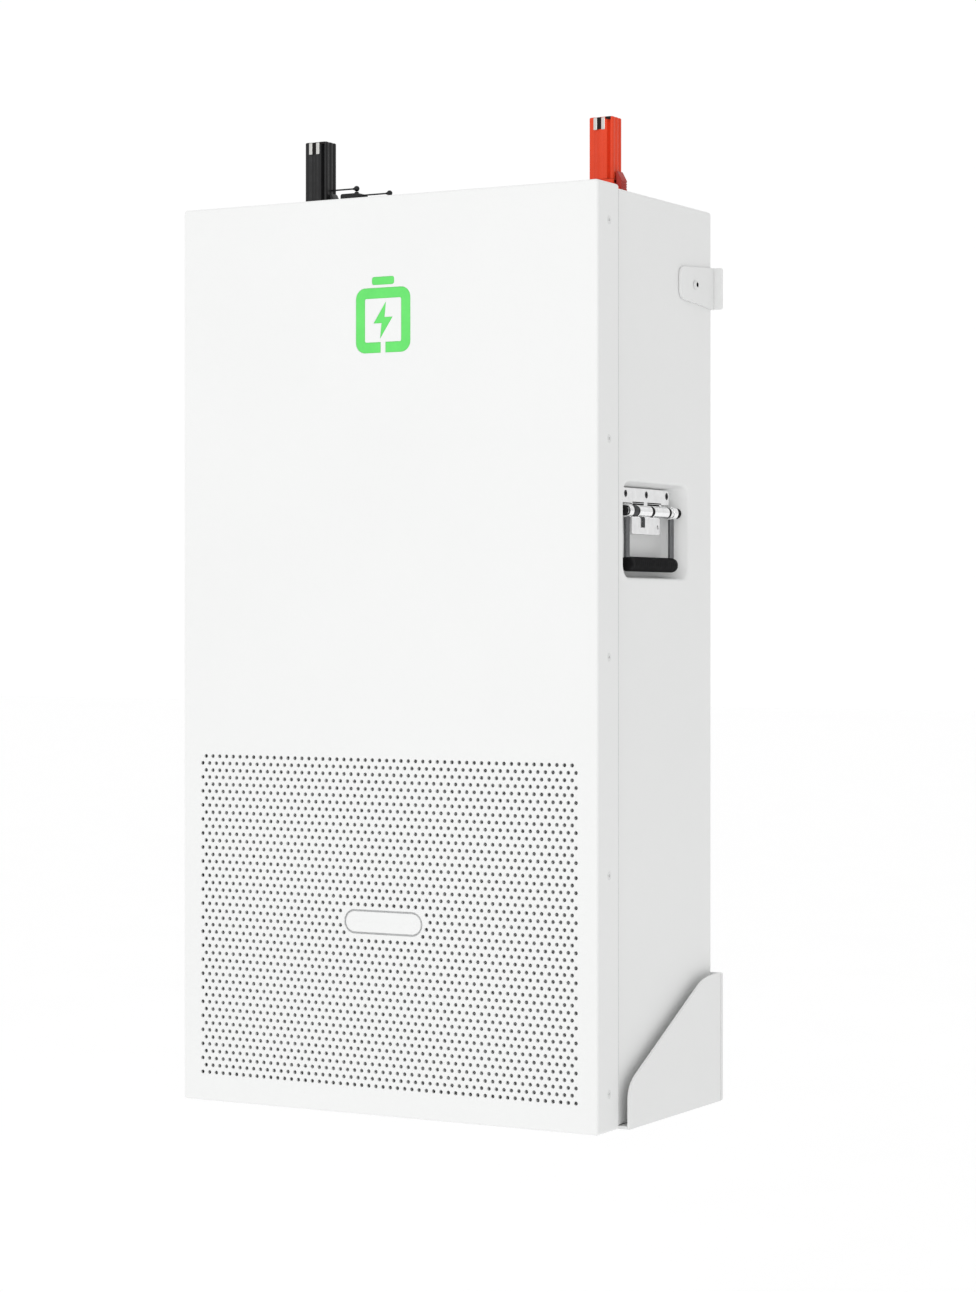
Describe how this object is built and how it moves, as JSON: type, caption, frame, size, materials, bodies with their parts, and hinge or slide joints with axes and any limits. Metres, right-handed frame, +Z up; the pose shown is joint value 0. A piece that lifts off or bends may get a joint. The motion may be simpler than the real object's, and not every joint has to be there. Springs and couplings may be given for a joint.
{
  "type": "wall battery unit",
  "caption": "Wall-hung battery case with a perforated front cover, recessed folding side handles, top power terminals, a comms port and wall brackets.",
  "frame": {"origin": "on the wall plane, at the centre of the upper wall plate's rear face", "axes": "+X to the right seen from the front, +Y into the wall, +Z up"},
  "size_m": [0.479, 0.253, 0.9617],
  "materials": {
    "white_paint": "satin",
    "bracket_paint": "satin",
    "dark_foam": "matte",
    "green_lens": "gloss",
    "circuit_board": "satin",
    "filter_mesh": "matte",
    "white_screw": "satin",
    "dark_steel": "satin",
    "chrome": "polished",
    "spring_steel": "satin",
    "black_rubber": "matte",
    "black_plastic": "satin",
    "red_plastic": "satin",
    "dark_red_plastic": "satin",
    "tinned_copper": "polished",
    "cell_wrap": "satin",
    "grey_plastic": "matte"
  },
  "bodies": {
    "root": {"rear_case": "white_paint", "front_cover": "white_paint", "name_badge": "white_paint", "handle_pocket_right": "white_paint", "handle_pocket_left": "white_paint", "upper_wall_plate": "bracket_paint", "upper_ear_right": "bracket_paint", "upper_ear_left": "bracket_paint", "lower_wall_plate": "bracket_paint", "lower_shelf": "bracket_paint", "gusset_right": "bracket_paint", "gusset_left": "bracket_paint", "cover_gasket": "dark_foam", "status_light_lens": "green_lens", "status_light_board": "circuit_board", "dust_filter": "filter_mesh", "cover_screw_right_1": "white_screw", "cover_screw_left_1": "white_screw", "cover_screw_right_2": "white_screw", "cover_screw_left_2": "white_screw", "cover_screw_right_3": "white_screw", "cover_screw_left_3": "white_screw", "cover_screw_right_4": "white_screw", "cover_screw_left_4": "white_screw", "cover_screw_right_5": "white_screw", "cover_screw_left_5": "white_screw", "hinge_plate_right": "chrome", "handle_pin_right": "chrome", "handle_spring_right": "spring_steel", "ear_screw_right": "white_screw", "cell_stack_right": "cell_wrap", "hinge_plate_left": "chrome", "handle_pin_left": "chrome", "handle_spring_left": "spring_steel", "ear_screw_left": "white_screw", "cell_stack_left": "cell_wrap", "hinge_screw_front_right": "dark_steel", "hinge_screw_front_left": "dark_steel", "hinge_screw_middle_right": "dark_steel", "hinge_screw_middle_left": "dark_steel", "hinge_screw_rear_right": "dark_steel", "hinge_screw_rear_left": "dark_steel", "receptacle_negative": "black_plastic", "terminal_post_negative": "black_plastic", "terminal_contact_negative": "tinned_copper", "receptacle_positive": "red_plastic", "terminal_post_positive": "red_plastic", "terminal_contact_positive": "tinned_copper", "comms_port": "black_plastic", "cell_cradle": "grey_plastic", "management_board": "circuit_board", "main_breaker": "grey_plastic"},
    "handle_right": {"handle_bail_right": "chrome", "handle_grip_right": "black_rubber"},
    "handle_left": {"handle_bail_left": "chrome", "handle_grip_left": "black_rubber"},
    "latch_negative": {"terminal_latch_negative": "black_plastic"},
    "latch_positive": {"terminal_latch_positive": "dark_red_plastic"},
    "post_pin": {"post_lock_pin": "dark_steel"},
    "port_pin": {"port_lock_pin": "dark_steel"}
  },
  "joints": [
    {"name": "handle_right_swing", "type": "hinge", "parent": "root", "child": "handle_right", "pos_m": [0.22, -0.125, -0.2238], "axis": [0, -1, 0], "range_deg": [0, 90], "stiffness_Nm_per_rad": 0.12, "springref_deg": -28.65},
    {"name": "handle_left_swing", "type": "hinge", "parent": "root", "child": "handle_left", "pos_m": [-0.22, -0.125, -0.2238], "axis": [0, 1, 0], "range_deg": [0, 90], "stiffness_Nm_per_rad": 0.12, "springref_deg": -28.65},
    {"name": "latch_negative_press", "type": "hinge", "parent": "root", "child": "latch_negative", "pos_m": [-0.1457, -0.106, 0.08675], "axis": [0, 1, 0], "range_deg": [0, 12], "stiffness_Nm_per_rad": 0.02, "springref_deg": -5.73},
    {"name": "latch_positive_press", "type": "hinge", "parent": "root", "child": "latch_positive", "pos_m": [0.1809, -0.106, 0.08675], "axis": [0, 1, 0], "range_deg": [0, 12], "stiffness_Nm_per_rad": 0.02, "springref_deg": -5.73},
    {"name": "post_pin_pull", "type": "slide", "parent": "root", "child": "post_pin", "axis": [1, 0, 0], "range_m": [0, 0.006]},
    {"name": "port_pin_pull", "type": "slide", "parent": "root", "child": "port_pin", "axis": [1, 0, 0], "range_m": [0, 0.006]}
  ]
}
